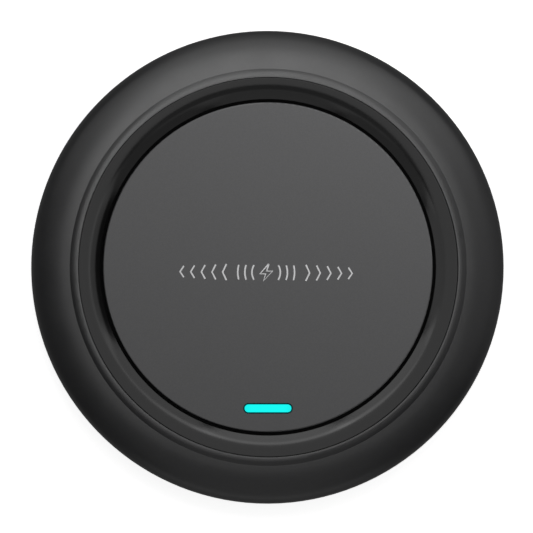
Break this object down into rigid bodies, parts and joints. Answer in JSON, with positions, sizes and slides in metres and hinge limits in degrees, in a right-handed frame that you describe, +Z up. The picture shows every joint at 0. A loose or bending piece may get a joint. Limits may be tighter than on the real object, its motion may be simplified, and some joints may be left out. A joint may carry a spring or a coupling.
{
  "type": "wireless charging pad",
  "caption": "Round low wireless charging pad with a rounded rim, a dished glossy bezel, a flat plate with a light bar, and a cable socket in its back.",
  "frame": {"origin": "on the resting surface, under the centre of the round pad", "axes": "+Z up out of the charging surface, -Y to the front, where the light bar is, +Y to the back, where the cable socket is"},
  "size_m": [0.1, 0.1, 0.0136],
  "materials": {
    "satin_black": "satin",
    "textured_black": "matte",
    "gloss_black": "gloss",
    "plate_grey_black": "matte",
    "foot_silicone": "matte",
    "light_bar_cyan": "gloss",
    "inner_black_plastic": "matte",
    "coil_copper": "satin",
    "amber_tape": "satin",
    "ferrite": "matte",
    "adhesive_film": "satin",
    "sensor_glass": "gloss",
    "board_green": "satin",
    "socket_steel": "satin",
    "contact_gold": "gloss",
    "chip_black": "satin",
    "chip_ceramic": "satin",
    "led_body": "gloss",
    "thermal_silicone": "matte",
    "screw_zinc": "satin",
    "label_film": "satin",
    "print_ink": "matte"
  },
  "bodies": {
    "root": {"outer_housing": "satin_black", "bottom_cover": "textured_black", "inner_bezel": "gloss_black", "charging_plate": "plate_grey_black", "foot_ring": "foot_silicone", "light_guide": "light_bar_cyan", "light_shield": "inner_black_plastic", "transmitter_coil": "coil_copper", "coil_tape": "amber_tape", "ferrite_disc": "ferrite", "ferrite_tape": "adhesive_film", "coil_carrier": "inner_black_plastic", "thermistor": "sensor_glass", "circuit_board": "board_green", "usb_shell": "socket_steel", "usb_insulator": "inner_black_plastic", "usb_contacts": "contact_gold", "controller_chip": "chip_black", "bridge_transistors": "chip_black", "resonant_capacitors": "chip_ceramic", "input_capacitors": "chip_ceramic", "power_inductor": "ferrite", "chip_passives": "chip_ceramic", "indicator_leds": "led_body", "thermal_pad": "thermal_silicone", "cover_screws": "screw_zinc", "board_screws": "screw_zinc", "carrier_screws": "screw_zinc", "bezel_adhesive": "adhesive_film", "foot_adhesive": "adhesive_film", "rating_label": "label_film"}
  },
  "joints": []
}
